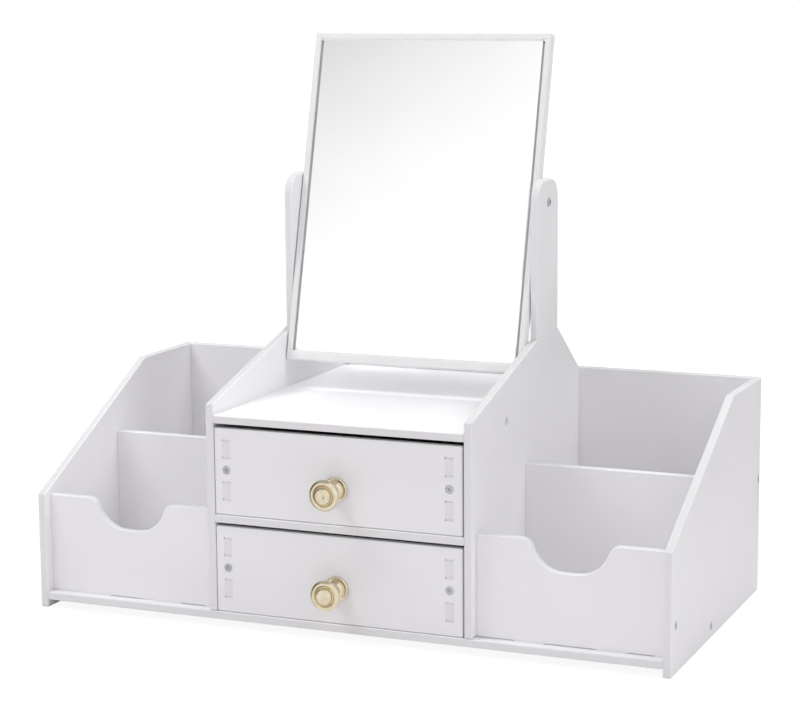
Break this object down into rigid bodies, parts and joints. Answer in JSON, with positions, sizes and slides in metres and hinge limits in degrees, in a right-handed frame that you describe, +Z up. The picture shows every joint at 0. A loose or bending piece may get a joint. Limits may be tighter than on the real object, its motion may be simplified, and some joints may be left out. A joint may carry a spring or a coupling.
{
  "type": "cosmetic organizer with mirror",
  "caption": "Desktop cosmetic organizer of white board: drawers under a shelf, an open divided wing on each side and a tilting mirror on arms.",
  "frame": {"origin": "on the ground, under the middle of the outer box with the knobs counted in", "axes": "+X to the right across the front, +Y from the front to the back, +Z up"},
  "size_m": [0.5, 0.269, 0.4331],
  "materials": {
    "white_board": "satin white foamed board",
    "mirror_glass": "silvered glass",
    "knob_brass": "polished pale gold",
    "screw_steel": "dull zinc",
    "washer_nylon": "dark nylon"
  },
  "bodies": {
    "carcass": {"back_panel": "white_board", "base_board": "white_board", "top_shelf": "white_board", "drawer_shelf": "white_board", "left_outer_panel": "white_board", "left_centre_panel": "white_board", "left_front_panel": "white_board", "left_divider": "white_board", "right_outer_panel": "white_board", "right_centre_panel": "white_board", "right_front_panel": "white_board", "right_divider": "white_board", "left_outer_front_screw": "screw_steel", "left_outer_base_screw": "screw_steel", "left_outer_back_screw": "screw_steel", "left_top_shelf_screw": "screw_steel", "left_rear_lower_screw": "screw_steel", "left_rear_upper_screw": "screw_steel", "right_outer_front_screw": "screw_steel", "right_outer_base_screw": "screw_steel", "right_outer_back_screw": "screw_steel", "right_top_shelf_screw": "screw_steel", "right_rear_lower_screw": "screw_steel", "right_rear_upper_screw": "screw_steel"},
    "lower_drawer": {"lower_drawer_front": "white_board", "lower_drawer_back": "white_board", "lower_drawer_left_side": "white_board", "lower_drawer_right_side": "white_board", "lower_drawer_bottom": "white_board", "lower_drawer_knob": "knob_brass", "lower_drawer_knob_screw": "screw_steel", "lower_drawer_left_front_screw": "screw_steel", "lower_drawer_left_back_screw": "screw_steel", "lower_drawer_right_front_screw": "screw_steel", "lower_drawer_right_back_screw": "screw_steel"},
    "upper_drawer": {"upper_drawer_front": "white_board", "upper_drawer_back": "white_board", "upper_drawer_left_side": "white_board", "upper_drawer_right_side": "white_board", "upper_drawer_bottom": "white_board", "upper_drawer_knob": "knob_brass", "upper_drawer_knob_screw": "screw_steel", "upper_drawer_left_front_screw": "screw_steel", "upper_drawer_left_back_screw": "screw_steel", "upper_drawer_right_front_screw": "screw_steel", "upper_drawer_right_back_screw": "screw_steel"},
    "mirror": {"mirror_top_rail": "white_board", "mirror_bottom_rail": "white_board", "mirror_left_rail": "white_board", "mirror_right_rail": "white_board", "mirror_backing": "white_board", "mirror_glass": "mirror_glass", "left_pivot_screw": "screw_steel", "right_pivot_screw": "screw_steel", "left_pivot_washer": "washer_nylon", "right_pivot_washer": "washer_nylon"}
  },
  "joints": [
    {"name": "lower_drawer_slide", "type": "slide", "parent": "carcass", "child": "lower_drawer", "axis": [0, -1, 0], "range_m": [0, 0.165]},
    {"name": "upper_drawer_slide", "type": "slide", "parent": "carcass", "child": "upper_drawer", "axis": [0, -1, 0], "range_m": [0, 0.165]},
    {"name": "mirror_tilt", "type": "hinge", "parent": "carcass", "child": "mirror", "pos_m": [0, 0.0515, 0.308], "axis": [1, 0, 0], "continuous": true}
  ]
}
